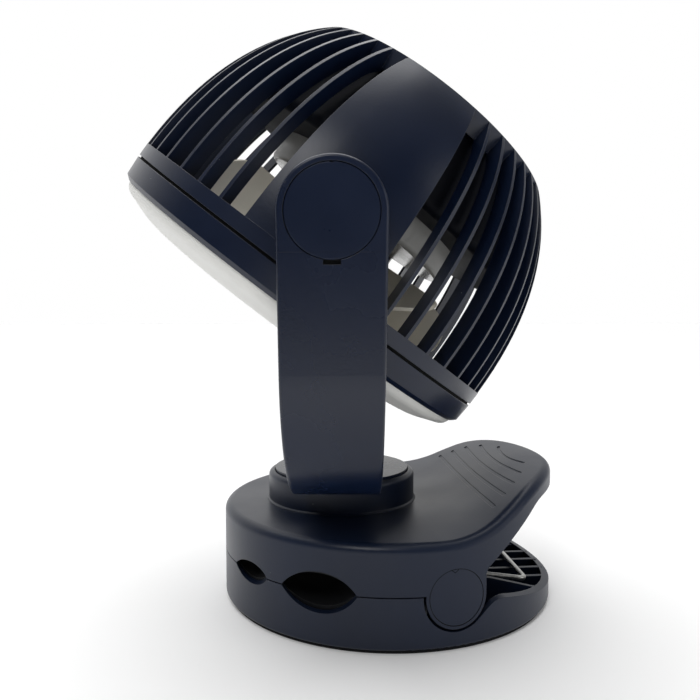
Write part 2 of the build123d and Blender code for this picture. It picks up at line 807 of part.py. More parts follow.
with BuildPart() as swivel_disc:
    with BuildSketch(yoke_frame.offset(disc_underside)):
        Circle(swivel_disc_radius)
    extrude(amount=swivel_disc_top - disc_underside)
    with BuildSketch(yoke_frame.offset(retainer_top)):
        Circle(swivel_hub_radius)
    extrude(amount=disc_underside - retainer_top)
    with BuildSketch(yoke_frame.offset(retainer_top)):
        Circle(swivel_wire_radius)
    extrude(amount=swivel_disc_top - retainer_top, mode=Mode.SUBTRACT)
    with BuildSketch(yoke_frame.offset(retainer_top)):
        with PolarLocations(swivel_screw_circle, 3):
            Circle(swivel_screw_radius + seat_gap)
    extrude(amount=swivel_screw_length, mode=Mode.SUBTRACT)
swivel_disc.part.label = "swivel_disc"
export_step(swivel_disc.part, "parts/swivel_disc.step")

with BuildPart() as friction_washer:
    with BuildSketch(yoke_frame.offset(retainer_top)):
        Circle(retainer_radius)
        Circle(swivel_hub_radius + side_gap, mode=Mode.SUBTRACT)
    extrude(amount=friction_washer_thickness)
friction_washer.part.label = "friction_washer"
export_step(friction_washer.part, "parts/friction_washer.step")

with BuildPart() as swivel_retainer:
    with BuildSketch(yoke_frame.offset(retainer_top - retainer_thickness)):
        Circle(retainer_radius)
        Circle(swivel_wire_radius, mode=Mode.SUBTRACT)
        with PolarLocations(swivel_screw_circle, 3):
            Circle(swivel_screw_radius + seat_gap, mode=Mode.SUBTRACT)
    extrude(amount=retainer_thickness)
swivel_retainer.part.label = "swivel_retainer"
export_step(swivel_retainer.part, "parts/swivel_retainer.step")

with BuildPart() as swivel_screws:
    add(
        screw_set(
            Plane(
                origin=(turret_x, 0, retainer_top - retainer_thickness),
                x_dir=across,
                z_dir=(0, 0, -1),
            ),
            (0, 0),
            swivel_screw_circle,
            3,
            swivel_screw_radius,
            swivel_screw_head,
            retainer_thickness + swivel_screw_length - 1,
        )
    )
swivel_screws.part.label = "swivel_screws"
export_step(swivel_screws.part, "parts/swivel_screws.step")

# ================================================================ yoke
yoke_base = swivel_disc_top
yoke_top = pivot_height + arm_top_half_width
arm_inner_y = arm_face_y - arm_thickness
inner_bend_radius = arm_bend_radius - arm_thickness
cover_floor_y = arm_face_y - arm_cover_thickness
pocket_floor_y = arm_face_y - arm_pocket_depth

with BuildPart() as yoke:
    with BuildSketch(yoke_front):
        with BuildLine():
            FilletPolyline(
                (-arm_face_y, yoke_top),
                (-arm_face_y, yoke_base),
                (arm_face_y, yoke_base),
                (arm_face_y, yoke_top),
                (arm_inner_y, yoke_top),
                (arm_inner_y, yoke_base + arm_thickness),
                (-arm_inner_y, yoke_base + arm_thickness),
                (-arm_inner_y, yoke_top),
                radius=(0, arm_bend_radius, arm_bend_radius, 0, 0, inner_bend_radius, inner_bend_radius, 0),
                close=True,
            )
        make_face()
    extrude(amount=2 * arm_top_half_width, both=True)
    with BuildSketch(yoke_side) as arm_side:
        with Locations((0, pivot_height)):
            Circle(arm_top_half_width)
        with Locations((0, yoke_base)):
            Rectangle(2 * arm_foot_half_width, 1)
        make_hull(arm_side.edges())
    extrude(amount=2 * arm_face_y, both=True, mode=Mode.INTERSECT)
    top_arcs = yoke.edges().filter_by(
        lambda edge: (edge @ 0.5).Z > yoke_top - 0.01 and edge.geom_type == GeomType.CIRCLE
    )
    fillet(top_arcs, arm_edge_round)
    with BuildSketch(yoke_frame.offset(yoke_base)):
        Circle(swivel_wire_radius)
    extrude(amount=arm_thickness, mode=Mode.SUBTRACT)
    for side in (-1, 1):
        for radius, depth in (
            (arm_cover_radius + seat_gap, arm_cover_thickness),
            (arm_pocket_radius, arm_pocket_depth),
            (journal_radius + running_gap, arm_thickness),
        ):
            with BuildSketch(pivot_frame.offset(side * (arm_face_y - depth))):
                Circle(radius)
            extrude(amount=side * depth, mode=Mode.SUBTRACT)
        with BuildSketch(pivot_frame.offset(side * cover_floor_y)):
            with Locations((0, arm_cover_radius + pry_slot_offset)):
                Rectangle(pry_slot_width, pry_slot_height)
        extrude(amount=side * arm_cover_thickness, mode=Mode.SUBTRACT)
yoke.part.label = "yoke"
export_step(yoke.part, "parts/yoke.step")

with BuildPart() as arm_cover:
    with BuildSketch(pivot_frame.offset(cover_floor_y)):
        Circle(arm_cover_radius)
    extrude(amount=arm_cover_thickness - cover_inset)
    chamfer(arm_cover.faces().sort_by(Axis((0, 0, 0), far_side))[-1].edges(), cover_chamfer)
    with BuildSketch(pivot_frame.offset(cover_floor_y)):
        with Locations((0, -arm_cover_radius - cover_mark_offset)):
            Circle(cover_mark_radius)
    extrude(amount=arm_cover_thickness, mode=Mode.SUBTRACT)
with BuildPart() as arm_cover_far:
    add(arm_cover.part)
arm_cover_far.part.label = "arm_cover_far"
export_step(arm_cover_far.part, "parts/arm_cover_far.step")
with BuildPart() as arm_cover_near:
    mirror(arm_cover.part, about=yoke_side)
arm_cover_near.part.label = "arm_cover_near"
export_step(arm_cover_near.part, "parts/arm_cover_near.step")

# ================================================================ head: rear shell
shelf_bottom = flange_height - shell_wall
spigot_gap_height = head_seam_gap / 2
trunnion_end = arm_inner_y - side_gap
journal_end = pocket_floor_y + swivel_lift
place_angle = 360 / rib_count


def dome_point(height, inset=0.0):
    """Radius and height of the dome's outline, moved inwards along its normal."""
    ratio = height / dome_height
    radius = head_radius * (1 - ratio**dome_power) ** (1 / dome_power)
    slope_r = (radius / head_radius) ** (dome_power - 1) / head_radius
    slope_h = ratio ** (dome_power - 1) / dome_height
    length = hypot(slope_r, slope_h)
    return (radius - inset * slope_r / length, height - inset * slope_h / length)


def dome_line(inset):
    """Points up the dome's outline from the flange to the rim."""
    steps = [flange_height - 1 + (dome_top - flange_height + 1) * k / 8 for k in range(9)]
    return [dome_point(height, inset) for height in steps]


def dome_band(depth):
    """Section through a rib or a strip: between the dome's outline and the same line moved in."""
    outside = dome_line(0)
    inside = [point for point in dome_line(depth) if point[1] < dome_top - rim_depth]
    with BuildSketch() as band:
        with BuildLine():
            outer_line = Spline(outside)
            rim_line = Polyline(outside[-1], (rim_inner_radius + 1, dome_top), rim_foot)
            inner_line = Spline(inside)
            Line(rim_foot, inner_line @ 1)
            Line(outer_line @ 0, inner_line @ 0)
        make_face()
    return band.sketch


rim_outer_radius = dome_point(dome_top)[0]
rim_inner_radius = rim_outer_radius - rim_lip
rim_foot = (rim_inner_radius + 1, dome_top - rim_depth)
ledge_top = dome_top - cap_inset - cap_thickness - cap_ring_height
ledge_bottom = dome_top - rim_depth

with BuildPart() as rear_shell:
    with BuildSketch(head_section()):
        with BuildLine():
            Polyline(
                (head_radius - shell_wall, spigot_gap_height),
                (head_radius, spigot_gap_height),
                (head_radius, flange_height),
                (head_radius - rib_depth, flange_height),
                (head_radius - rib_depth, shelf_bottom),
                (head_radius - shell_wall, shelf_bottom),
                close=True,
            )
        make_face()
    revolve(axis=head_axis)
    with BuildSketch(head_section()):
        with BuildLine():
            Polyline(
                (rim_inner_radius, dome_top),
                (rim_outer_radius, dome_top),
                (rim_inner_radius + rim_wall, dome_top - rim_depth),
                (rim_inner_radius - rim_wall, dome_top - rim_depth),
                (rim_inner_radius - rim_wall, ledge_top),
                (rim_inner_radius, ledge_top),
                close=True,
            )
        make_face()
    revolve(axis=head_axis)
    for place in range(rib_count):
        from_strip = min(abs(place - rib_count / 4), abs(place - 3 * rib_count / 4))
        if from_strip > strip_half_places:
            with BuildSketch(head_section(place * place_angle)):
                add(dome_band(rib_depth))
    extrude(amount=rib_thickness / 2, both=True)
    for side_angle in (90, 270):
        with BuildSketch(head_section(side_angle - strip_half_places * place_angle)):
            add(dome_band(shell_wall))
        revolve(axis=head_axis, revolution_arc=2 * strip_half_places * place_angle)
    for side in (-1, 1):
        for radius, end in ((trunnion_radius, trunnion_end), (journal_radius, journal_end)):
            with BuildSketch(pivot_frame.offset(side * trunnion_root)):
                Circle(radius)
            extrude(amount=side * (end - trunnion_root))
        with BuildSketch(pivot_frame.offset(side * (trunnion_root + 1))):
            Circle(pivot_screw_radius + seat_gap)
        extrude(amount=side * trunnion_radius, mode=Mode.SUBTRACT)
rear_shell.part.label = "rear_shell"
export_step(rear_shell.part, "parts/rear_shell.step")

with BuildPart() as pivot_washers:
    for side in (-1, 1):
        with BuildSketch(pivot_frame.offset(side * journal_end)):
            Circle(pivot_washer_radius)
            Circle(pivot_screw_radius + seat_gap, mode=Mode.SUBTRACT)
        extrude(amount=side * pivot_washer_thickness)
pivot_washers.part.label = "pivot_washers"
export_step(pivot_washers.part, "parts/pivot_washers.step")

with BuildPart() as pivot_screws:
    head_start = journal_end + pivot_washer_thickness
    for side in (-1, 1):
        with BuildSketch(pivot_frame.offset(side * (trunnion_root + 2))):
            Circle(pivot_screw_radius)
        extrude(amount=side * (head_start - trunnion_root - 2))
        with BuildSketch(pivot_frame.offset(side * head_start)):
            Circle(pivot_screw_radius * screw_head_ratio)
        extrude(amount=side * pivot_screw_head)
pivot_screws.part.label = "pivot_screws"
export_step(pivot_screws.part, "parts/pivot_screws.step")

# ================================================================ head: motor, battery and controls
cap_screw_circle = rim_inner_radius - cap_screw_inset
cap_ring_inner = rim_inner_radius - cap_ring_width
board_radius = rim_inner_radius - board_inset
board_post_circle = board_radius - board_post_inset
pod_shoulder_radius = rim_inner_radius + pod_shoulder_reach
pod_middle_height = (pod_edge_height + ledge_bottom) / 2
pod_outer = [dome_point(height, pod_gap) for height in (pod_edge_height, pod_middle_height, ledge_bottom)]
pod_bottom = pod_outer[0][1]
pod_floor_top = pod_bottom + pod_floor
pod_inner = [
    dome_point(height, pod_gap + pod_wall)
    for height in (pod_edge_height + pod_floor + pod_wall, pod_middle_height, ledge_bottom)
]
neck_radius = rim_inner_radius - rim_wall - seat_gap
neck_top = ledge_top - seat_gap
shoulder_height = ledge_bottom - seat_gap
cup_floor_top = cup_bottom + cup_floor
motor_top = pod_bottom - side_gap
cap_underside = ledge_top + cap_ring_height
cap_top = cap_underside + cap_thickness
cap_radius = rim_inner_radius - seat_gap
cradle_height = pod_floor_top + cradle_lift
board_height = cap_underside - board_drop
board_top = board_height + board_thickness
button_places = [(0, -button_spread), (0, button_spread)]


def board_supports(radius):
    """Four round supports of the circuit board, in the plane across the head's axis."""
    with BuildSketch() as supports:
        for angle in (-board_post_angle, board_post_angle):
            with PolarLocations(board_post_circle, 2, start_angle=angle):
                Circle(radius)
    return supports.sketch


with BuildPart() as motor_pod:
    with BuildSketch(head_section()):
        with BuildLine():
            ThreePointArc(*pod_outer)
            Polyline(
                pod_outer[2],
                (pod_shoulder_radius, shoulder_height),
                (neck_radius, shoulder_height),
                (neck_radius, neck_top),
                (neck_radius - pod_wall, neck_top),
                (neck_radius - pod_wall, shoulder_height - pod_wall),
                pod_inner[2],
            )
            ThreePointArc(*pod_inner)
            Polyline(
                pod_inner[0],
                (pod_inner[0][0], pod_floor_top),
                (0, pod_floor_top),
                (0, pod_bottom),
                pod_outer[0],
            )
        make_face()
    revolve(axis=head_axis)
    fillet(motor_pod.faces().sort_by(Axis(seam_centre, head_up))[0].edges(), pod_round)
    with BuildSketch(head_level(neck_top - pod_boss_depth)):
        with PolarLocations(cap_screw_circle, 4, start_angle=45):
            Circle(pod_boss_radius)
    extrude(amount=pod_boss_depth)
    with BuildSketch(head_level(neck_top - pod_boss_depth)):
        with PolarLocations(cap_screw_circle, 4, start_angle=45):
            Circle(cap_screw_radius + seat_gap)
    extrude(amount=pod_boss_depth, mode=Mode.SUBTRACT)
    with BuildSketch(head_level(pod_floor_top)):
        add(board_supports(board_post_radius))
    extrude(amount=board_height - pod_floor_top)
    with BuildSketch(head_level(pod_floor_top)):
        with Locations((0, -cradle_rib_y), (0, cradle_rib_y)):
            Rectangle(cradle_width, jaw_rib_thickness)
    extrude(amount=cradle_height - pod_floor_top)
    with BuildSketch(head_level(pod_bottom)):
        with PolarLocations(cup_boss_circle, 3):
            Circle(cup_screw_radius + seat_gap)
    extrude(amount=pod_floor, mode=Mode.SUBTRACT)
motor_pod.part.label = "motor_pod"
export_step(motor_pod.part, "parts/motor_pod.step")

with BuildPart() as motor_cup:
    with BuildSketch(head_level(cup_bottom)):
        Circle(cup_radius)
    extrude(amount=pod_bottom - cup_bottom)
    fillet(motor_cup.faces().sort_by(Axis(seam_centre, head_up))[0].edges(), cup_round)
    with BuildSketch(head_level(cup_floor_top)):
        Circle(cup_radius - cup_wall)
    extrude(amount=pod_bottom - cup_floor_top, mode=Mode.SUBTRACT)
    with BuildSketch(head_level(cup_floor_top)):
        with PolarLocations(cup_boss_circle, 3):
            Circle(cup_boss_radius)
    extrude(amount=pod_bottom - cup_floor_top)
    with BuildSketch(head_level(cup_floor_top)):
        with PolarLocations(cup_boss_circle, 3):
            Circle(cup_screw_radius + seat_gap)
    extrude(amount=pod_bottom - cup_floor_top, mode=Mode.SUBTRACT)
    with BuildSketch(head_level(cup_bottom)):
        Circle(motor_boss_radius + seat_gap)
        with PolarLocations(motor_screw_circle, 3):
            Circle(motor_screw_radius + seat_gap)
    extrude(amount=cup_floor, mode=Mode.SUBTRACT)
motor_cup.part.label = "motor_cup"
export_step(motor_cup.part, "parts/motor_cup.step")

with BuildPart() as cup_screws:
    add(
        screw_set(
            head_level(pod_floor_top),
            (0, 0),
            cup_boss_circle,
            3,
            cup_screw_radius,
            cup_screw_head,
            cup_screw_length,
        )
    )
cup_screws.part.label = "cup_screws"
export_step(cup_screws.part, "parts/cup_screws.step")

with BuildPart() as motor:
    with BuildSketch(head_level(cup_floor_top)):
        Circle(motor_radius)
    extrude(amount=motor_top - cup_floor_top)
    with BuildSketch(head_level(cup_bottom - motor_boss_stand)):
        Circle(motor_boss_radius)
    extrude(amount=cup_floor + motor_boss_stand)
    with BuildSketch(head_level(cup_bottom - motor_boss_stand)):
        Circle(shaft_radius + running_gap)
    extrude(amount=shaft_top + side_gap - cup_bottom + motor_boss_stand, mode=Mode.SUBTRACT)
    with BuildSketch(head_level(cup_floor_top)):
        with PolarLocations(motor_screw_circle, 3):
            Circle(motor_screw_radius + seat_gap)
    extrude(amount=motor_screw_grip + 1, mode=Mode.SUBTRACT)
motor.part.label = "motor"
export_step(motor.part, "parts/motor.step")

with BuildPart() as motor_screws:
    add(
        screw_set(
            Plane(origin=seam_centre + head_up * cup_bottom, x_dir=head_down, z_dir=-head_up),
            (0, 0),
            motor_screw_circle,
            3,
            motor_screw_radius,
            motor_screw_head,
            cup_floor + motor_screw_grip,
        )
    )
motor_screws.part.label = "motor_screws"
export_step(motor_screws.part, "parts/motor_screws.step")

cell_height = cradle_height + cradle_thickness + battery_radius
cell_places = [(-battery_radius - cell_gap / 2, cell_height), (battery_radius + cell_gap / 2, cell_height)]
cell_section = Plane(origin=seam_centre, x_dir=head_down, z_dir=-far_side)

with BuildPart() as battery_cradle:
    with BuildSketch(cell_section):
        with Locations((0, cradle_height)):
            Rectangle(cradle_width, cradle_side_height, align=(Align.CENTER, Align.MIN))
        with Locations(cell_places):
            Circle(battery_radius + seat_gap, mode=Mode.SUBTRACT)
    extrude(amount=cradle_length / 2, both=True)
battery_cradle.part.label = "battery_cradle"
export_step(battery_cradle.part, "parts/battery_cradle.step")

with BuildPart() as battery_cells:
    with BuildSketch(cell_section):
        with Locations(cell_places):
            Circle(battery_radius)
    extrude(amount=battery_length / 2, both=True)
battery_cells.part.label = "battery_cells"
export_step(battery_cells.part, "parts/battery_cells.step")

with BuildPart() as circuit_board:
    with BuildSketch(head_level(board_height)):
        Circle(board_radius)
    extrude(amount=board_thickness)
    with BuildSketch(head_level(board_top)):
        with Locations(button_places):
            Rectangle(switch_size, switch_size)
    extrude(amount=switch_height)
circuit_board.part.label = "circuit_board"
export_step(circuit_board.part, "parts/circuit_board.step")

with BuildPart() as usb_socket:
    with BuildSketch(head_level(board_top)):
        with Locations((usb_offset, 0)):
            SlotOverall(usb_width, usb_thickness, rotation=90)
    extrude(amount=cap_top - usb_inset - board_top)
    with BuildSketch(head_level(cap_top - usb_inset - usb_depth)):
        with Locations((usb_offset, 0)):
            SlotOverall(usb_width - 2 * usb_wall, usb_thickness - 2 * usb_wall, rotation=90)
            Rectangle(usb_tongue_thickness, usb_tongue_width, mode=Mode.SUBTRACT)
    extrude(amount=usb_depth, mode=Mode.SUBTRACT)
usb_socket.part.label = "usb_socket"
export_step(usb_socket.part, "parts/usb_socket.step")

with BuildPart() as back_cap:
    with BuildSketch(head_level(cap_underside)):
        Circle(cap_radius)
    extrude(amount=cap_thickness)
    chamfer(back_cap.faces().sort_by(Axis(seam_centre, head_up))[-1].edges(), cap_chamfer)
    with BuildSketch(head_level(ledge_top)):
        Circle(cap_radius)
        Circle(cap_ring_inner, mode=Mode.SUBTRACT)
    extrude(amount=cap_ring_height)
    with BuildSketch(head_level(board_top)):
        add(board_supports(board_pin_radius))
    extrude(amount=cap_underside + cap_thickness / 2 - board_top)
    with BuildSketch(head_level(cap_underside)):
        with Locations(button_places):
            Circle(button_radius + running_gap)
        with Locations((usb_offset, 0)):
            SlotOverall(usb_width + 2 * seat_gap, usb_thickness + 2 * seat_gap, rotation=90)
        with Locations((-charge_window_offset, 0)):
            Circle(charge_window_radius + seat_gap)
    extrude(amount=cap_thickness, mode=Mode.SUBTRACT)
    with BuildSketch(head_level(ledge_top)):
        with PolarLocations(cap_screw_circle, 4, start_angle=45):
            Circle(cap_screw_radius + seat_gap)
    extrude(amount=cap_ring_height + cap_thickness, mode=Mode.SUBTRACT)
    with BuildSketch(head_level(cap_top - cap_screw_head)):
        with PolarLocations(cap_screw_circle, 4, start_angle=45):
            Circle(cap_screw_radius * screw_head_ratio + side_gap)
    extrude(amount=cap_screw_head, mode=Mode.SUBTRACT)
back_cap.part.label = "back_cap"
export_step(back_cap.part, "parts/back_cap.step")

with BuildPart() as cap_screws:
    add(
        screw_set(
            head_level(cap_top - cap_screw_head),
            (0, 0),
            cap_screw_circle,
            4,
            cap_screw_radius,
            cap_screw_head,
            cap_thickness - cap_screw_head + cap_ring_height + cap_screw_grip,
            start_angle=45,
        )
    )
cap_screws.part.label = "cap_screws"
export_step(cap_screws.part, "parts/cap_screws.step")

with BuildPart() as charge_window:
    with BuildSketch(head_level(board_top)):
        with Locations((-charge_window_offset, 0)):
            Circle(charge_window_radius)
    extrude(amount=cap_top - board_top)
charge_window.part.label = "charge_window"
export_step(charge_window.part, "parts/charge_window.step")

stem_foot = board_top + switch_height + button_travel
flange_top = cap_underside - swivel_lift
for place, button_name in zip(button_places, ("light_button", "fan_button")):
    with BuildPart() as button:
        with BuildSketch(head_level(flange_top - button_flange_thickness)):
            with Locations(place):
                Circle(button_radius + button_flange_width)
        extrude(amount=button_flange_thickness)
        with BuildSketch(head_level(flange_top)):
            with Locations(place):
                Circle(button_radius)
        extrude(amount=cap_top + button_stand - flange_top)
        button_face = button.faces().sort_by(Axis(seam_centre, head_up))[-1]
        fillet(button_face.edges(), button_edge_round)
        with BuildSketch(head_level(stem_foot)):
            with Locations(place):
                Circle(button_stem_radius)
        extrude(amount=flange_top - stem_foot)
    button.part.label = button_name
    export_step(button.part, f"parts/{button_name}.step")

# ================================================================ head: ring light and front grille
shelf_top = -spigot_gap_height
shelf_underside = shelf_top - ring_shelf
ring_inner_radius = head_radius - ring_wall
lens_outer_radius = ring_inner_radius - side_gap
lens_slope_radius = lens_outer_radius - lens_slope_run
led_board_inner = duct_radius + led_board_inner_gap
led_board_outer = lens_outer_radius - lens_wall - led_board_outer_gap
led_board_underside = shelf_underside - led_board_thickness
duct_inner_radius = duct_radius - duct_wall
groove_floor_radius = head_radius - seam_groove_depth

with BuildPart() as front_ring:
    with BuildSketch(head_section()):
        with BuildLine():
            Polyline(
                (duct_inner_radius, shelf_top),
                (ring_inner_radius - spigot_wall - seat_gap, shelf_top),
                (ring_inner_radius - spigot_wall - seat_gap, shelf_bottom - seat_gap),
                (ring_inner_radius - seat_gap, shelf_bottom - seat_gap),
                (ring_inner_radius - seat_gap, spigot_gap_height - seat_gap),
                (groove_floor_radius, spigot_gap_height - seat_gap),
                (groove_floor_radius, shelf_top),
                (head_radius, shelf_top),
                (head_radius - ring_taper, shelf_top - ring_side),
                (head_radius - ring_taper - ring_bevel, -ring_depth),
                (ring_inner_radius, -ring_depth),
                (ring_inner_radius, shelf_underside),
                (duct_radius, shelf_underside),
                (duct_radius, -duct_depth),
                (duct_inner_radius, -duct_depth),
                close=True,
            )
        make_face()
    revolve(axis=head_axis)
front_ring.part.label = "front_ring"
export_step(front_ring.part, "parts/front_ring.step")

with BuildPart() as led_ring_board:
    with BuildSketch(head_level(led_board_underside)):
        Circle(led_board_outer)
        Circle(led_board_inner, mode=Mode.SUBTRACT)
    extrude(amount=led_board_thickness)
led_ring_board.part.label = "led_ring_board"
export_step(led_ring_board.part, "parts/led_ring_board.step")

with BuildPart() as led_chips:
    with BuildSketch(head_level(led_board_underside - led_height)):
        with PolarLocations((led_board_inner + led_board_outer) / 2, led_count):
            Rectangle(led_size, led_size)
    extrude(amount=led_height)
led_chips.part.label = "led_chips"
export_step(led_chips.part, "parts/led_chips.step")

lens_slope = atan2(lens_depth - lens_shoulder_depth, lens_outer_radius - lens_slope_radius)
lens_lean = pi / 2 - lens_slope
with BuildPart() as light_diffuser:
    with BuildSketch(head_section()):
        with BuildLine():
            FilletPolyline(
                (lens_outer_radius, shelf_underside),
                (lens_outer_radius, -lens_shoulder_depth),
                (lens_slope_radius, -lens_depth),
                (duct_radius + seat_gap, -lens_depth),
                (duct_radius + seat_gap, lens_wall - lens_depth),
                (lens_slope_radius - lens_wall * tan(lens_slope / 2), lens_wall - lens_depth),
                (lens_outer_radius - lens_wall, -lens_shoulder_depth + lens_wall * tan(lens_lean / 2)),
                (lens_outer_radius - lens_wall, shelf_underside),
                radius=(
                    0,
                    lens_shoulder_round,
                    lens_crown_round,
                    0,
                    0,
                    lens_crown_round - lens_wall,
                    lens_shoulder_round - lens_wall,
                    0,
                ),
                close=True,
            )
        make_face()
    revolve(axis=head_axis)
light_diffuser.part.label = "light_diffuser"
export_step(light_diffuser.part, "parts/light_diffuser.step")

middle_turn = radians(vane_sweep / 3)
vane_turn = radians(vane_sweep)
with BuildSketch() as grille_vane:
    vane_line = ThreePointArc(
        (grille_hub_radius - 1, 0),
        (grille_ring_radius * cos(middle_turn), grille_ring_radius * sin(middle_turn)),
        (duct_inner_radius * cos(vane_turn), duct_inner_radius * sin(vane_turn)),
    )
    SlotArc(vane_line, vane_thickness)
with BuildPart() as front_grille:
    with BuildSketch(head_level(-duct_depth)):
        Circle(duct_radius - seat_gap)
        Circle(duct_inner_radius - vane_thickness, mode=Mode.SUBTRACT)
        Circle(grille_ring_radius + vane_thickness / 2)
        Circle(grille_ring_radius - vane_thickness / 2, mode=Mode.SUBTRACT)
        Circle(grille_hub_radius)
        with PolarLocations(0, vane_count):
            add(grille_vane.sketch)
    extrude(amount=-grille_depth)
    with BuildSketch(head_level(-duct_depth - grille_depth)):
        Circle(grille_cap_radius + seat_gap)
    extrude(amount=grille_cap_thickness, mode=Mode.SUBTRACT)
front_grille.part.label = "front_grille"
export_step(front_grille.part, "parts/front_grille.step")

with BuildPart() as grille_hub_cap:
    with BuildSketch(head_level(-duct_depth - grille_depth + grille_cap_thickness)):
        Circle(grille_cap_radius)
    extrude(amount=grille_cap_inset - grille_cap_thickness)
    chamfer(grille_hub_cap.faces().sort_by(Axis(seam_centre, head_up))[0].edges(), cover_chamfer)
grille_hub_cap.part.label = "grille_hub_cap"
export_step(grille_hub_cap.part, "parts/grille_hub_cap.step")

# ================================================================ impeller
with BuildPart() as fan_blades:
    for blade in range(blade_count):
        turn = 2 * pi * blade / blade_count
        outward = head_frame.x_dir * cos(turn) + head_frame.y_dir * sin(turn)
        for share in (0, 0.5, 1):
            station = blade_root_radius + share * (blade_tip_radius - blade_root_radius)
            chord = blade_root_chord + share * (blade_tip_chord - blade_root_chord)
            pitch = blade_root_pitch + share * (blade_tip_pitch - blade_root_pitch)
            station_centre = seam_centre + head_up * blade_middle + outward * station
            with BuildSketch(Plane(origin=station_centre, x_dir=head_up.cross(outward), z_dir=outward)):
                Rectangle(chord, blade_thickness, rotation=pitch)
        loft()
    # the swept envelope rounds the blades' tips
    with BuildSketch(head_section()):
        with BuildLine():
            FilletPolyline(
                (0, blade_middle - blade_height / 2),
                (blade_tip_radius, blade_middle - blade_height / 2),
                (blade_tip_radius, blade_middle + blade_height / 2),
                (0, blade_middle + blade_height / 2),
                radius=(0, blade_corner_round, blade_corner_round, 0),
                close=True,
            )
        make_face()
    revolve(axis=head_axis, mode=Mode.INTERSECT)

with BuildPart() as impeller:
    with BuildSketch(head_level(hub_bottom)):
        Circle(hub_radius)
    extrude(amount=hub_top - hub_bottom)
    fillet(impeller.faces().sort_by(Axis(seam_centre, head_up))[0].edges(), hub_round)
    add(fan_blades.part)
    with BuildSketch(head_level(hub_bottom + hub_wall)):
        Circle(hub_radius - hub_wall)
    extrude(amount=hub_top, mode=Mode.SUBTRACT)
    with BuildSketch(head_level(hub_bottom)):
        Circle(hub_core_radius)
    extrude(amount=hub_core_top - hub_bottom)
    with BuildSketch(head_level(hub_bottom)):
        Circle(shaft_radius + seat_gap)
    extrude(amount=hub_core_top, mode=Mode.SUBTRACT)
impeller.part.label = "impeller"
export_step(impeller.part, "parts/impeller.step")

with BuildPart() as motor_shaft:
    with BuildSketch(head_level(hub_bottom - hub_clip_height / 2)):
        Circle(shaft_radius)
    extrude(amount=shaft_top - hub_bottom + hub_clip_height / 2)
motor_shaft.part.label = "motor_shaft"
export_step(motor_shaft.part, "parts/motor_shaft.step")

with BuildPart() as hub_clip:
    with BuildSketch(head_level(hub_bottom)):
        Circle(hub_clip_radius)
    extrude(amount=-hub_clip_height)
    chamfer(hub_clip.faces().sort_by(Axis(seam_centre, head_up))[0].edges(), cover_chamfer)
    with BuildSketch(head_level(hub_bottom)):
        Circle(shaft_radius + seat_gap)
    extrude(amount=-hub_clip_height / 2, mode=Mode.SUBTRACT)
hub_clip.part.label = "hub_clip"
export_step(hub_clip.part, "parts/hub_clip.step")
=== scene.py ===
"""Clip fan with a ring light: the look of every CAD node, a studio and the camera."""
from math import cos, radians, sin

import bpy
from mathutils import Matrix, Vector

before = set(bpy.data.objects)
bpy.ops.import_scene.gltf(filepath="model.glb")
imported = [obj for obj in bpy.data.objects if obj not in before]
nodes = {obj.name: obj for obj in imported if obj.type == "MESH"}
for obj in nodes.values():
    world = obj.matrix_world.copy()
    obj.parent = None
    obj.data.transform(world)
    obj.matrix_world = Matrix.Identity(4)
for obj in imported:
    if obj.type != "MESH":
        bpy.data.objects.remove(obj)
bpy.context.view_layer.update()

# ---------------------------------------------------------------- places on the fan, at rest, in metres
pivot = Vector((-0.0186, 0.0, 0.142))   # middle of the head's tilt axis
hinge = Vector((0.015, 0.0, 0.0182))    # middle of the clamp's hinge pin
along_hinge = Vector((0.0, 1.0, 0.0))
towards_lever = Vector((1.0, 0.0, 0.0))
upward = Vector((0.0, 0.0, 1.0))
swivel_turn, tilt = radians(-6.25), radians(52.9)
across = Vector((cos(swivel_turn), sin(swivel_turn), 0.0))
far_side = Vector((-sin(swivel_turn), cos(swivel_turn), 0.0))   # along the tilt axis
head_up = across * cos(tilt) + upward * sin(tilt)               # towards the back cap
seam_drop = 0.0217                      # from the pivot to the seam of front ring and rear shell
seam = pivot - head_up * seam_drop

# arms: from the fan's middle plane, from the pivot's axis, and up or across from the pivot
arm_gap_sides = (0.0850, 0.08665)
arm_cover_gap_radius = 0.0146
pry_slot_heights = (-0.0156, -0.0130)
pry_slot_half_width = 0.0029
parting_line_heights = (-0.01195, -0.01178)
parting_line_strength = 0.35

# hinge covers: from the fan's middle plane, from the pin's axis, and up or along from the pin
hinge_gap_sides = (0.0560, 0.0670)
hinge_ring_radii = (0.00950, 0.00974)
mark_setback = 0.0008
mark_height = 0.0084
mark_slope = 0.8
mark_half_stroke = 0.00016
mark_half_width = 0.0013

# seam between the front ring and the rear shell: along and from the head's axis
seam_half_height = 0.0006
seam_radii = (0.0795, 0.0807)

# ---------------------------------------------------------------- values that the materials share
drift_scale, broad_scale = 34.0, 11.0   # noise cells per metre
tone_span = (0.7, 1.3)                  # of the two noises added
# painted highlight on edges: where the rounded normal turns away it is lighter and glossier, in patches
edge_highlight_facing = (0.86, 0.995)              # cosine between the rounded and the true normal
edge_highlight_patch_span = (0.35, 0.65)
edge_highlight_patch_least = 0.4
edge_highlight_share = 0.7                        # of the base colour in the painted edge highlight
edge_highlight_gloss = 0.08                     # taken off the roughness where the edge highlight is painted
gloss_below, gloss_above = 0.04, 0.05   # drift of the roughness
dust_scale, dust_size = 260.0, 0.045
dust_colour = (0.22, 0.22, 0.21)
# painted shade: the near-black colour given to gaps, slots and grooves where shade falls
painted_shade_colour = (0.0006, 0.0007, 0.0010)
pit_depth = 0.0002

streak_cells = (900.0, 60.0, 900.0)     # of drawn metal, per metre
streak_span = (0.3, 0.7)
streak_dull, streak_bright = 0.78, 1.1  # shares of the metal's colour
streak_gloss_below, streak_gloss_above = 0.06, 0.1


# ---------------------------------------------------------------- shader nodes
def new_material(name):
    material = bpy.data.materials.new(name)
    material.use_nodes = True
    tree = material.node_tree
    return material, tree, tree.nodes["Principled BSDF"]


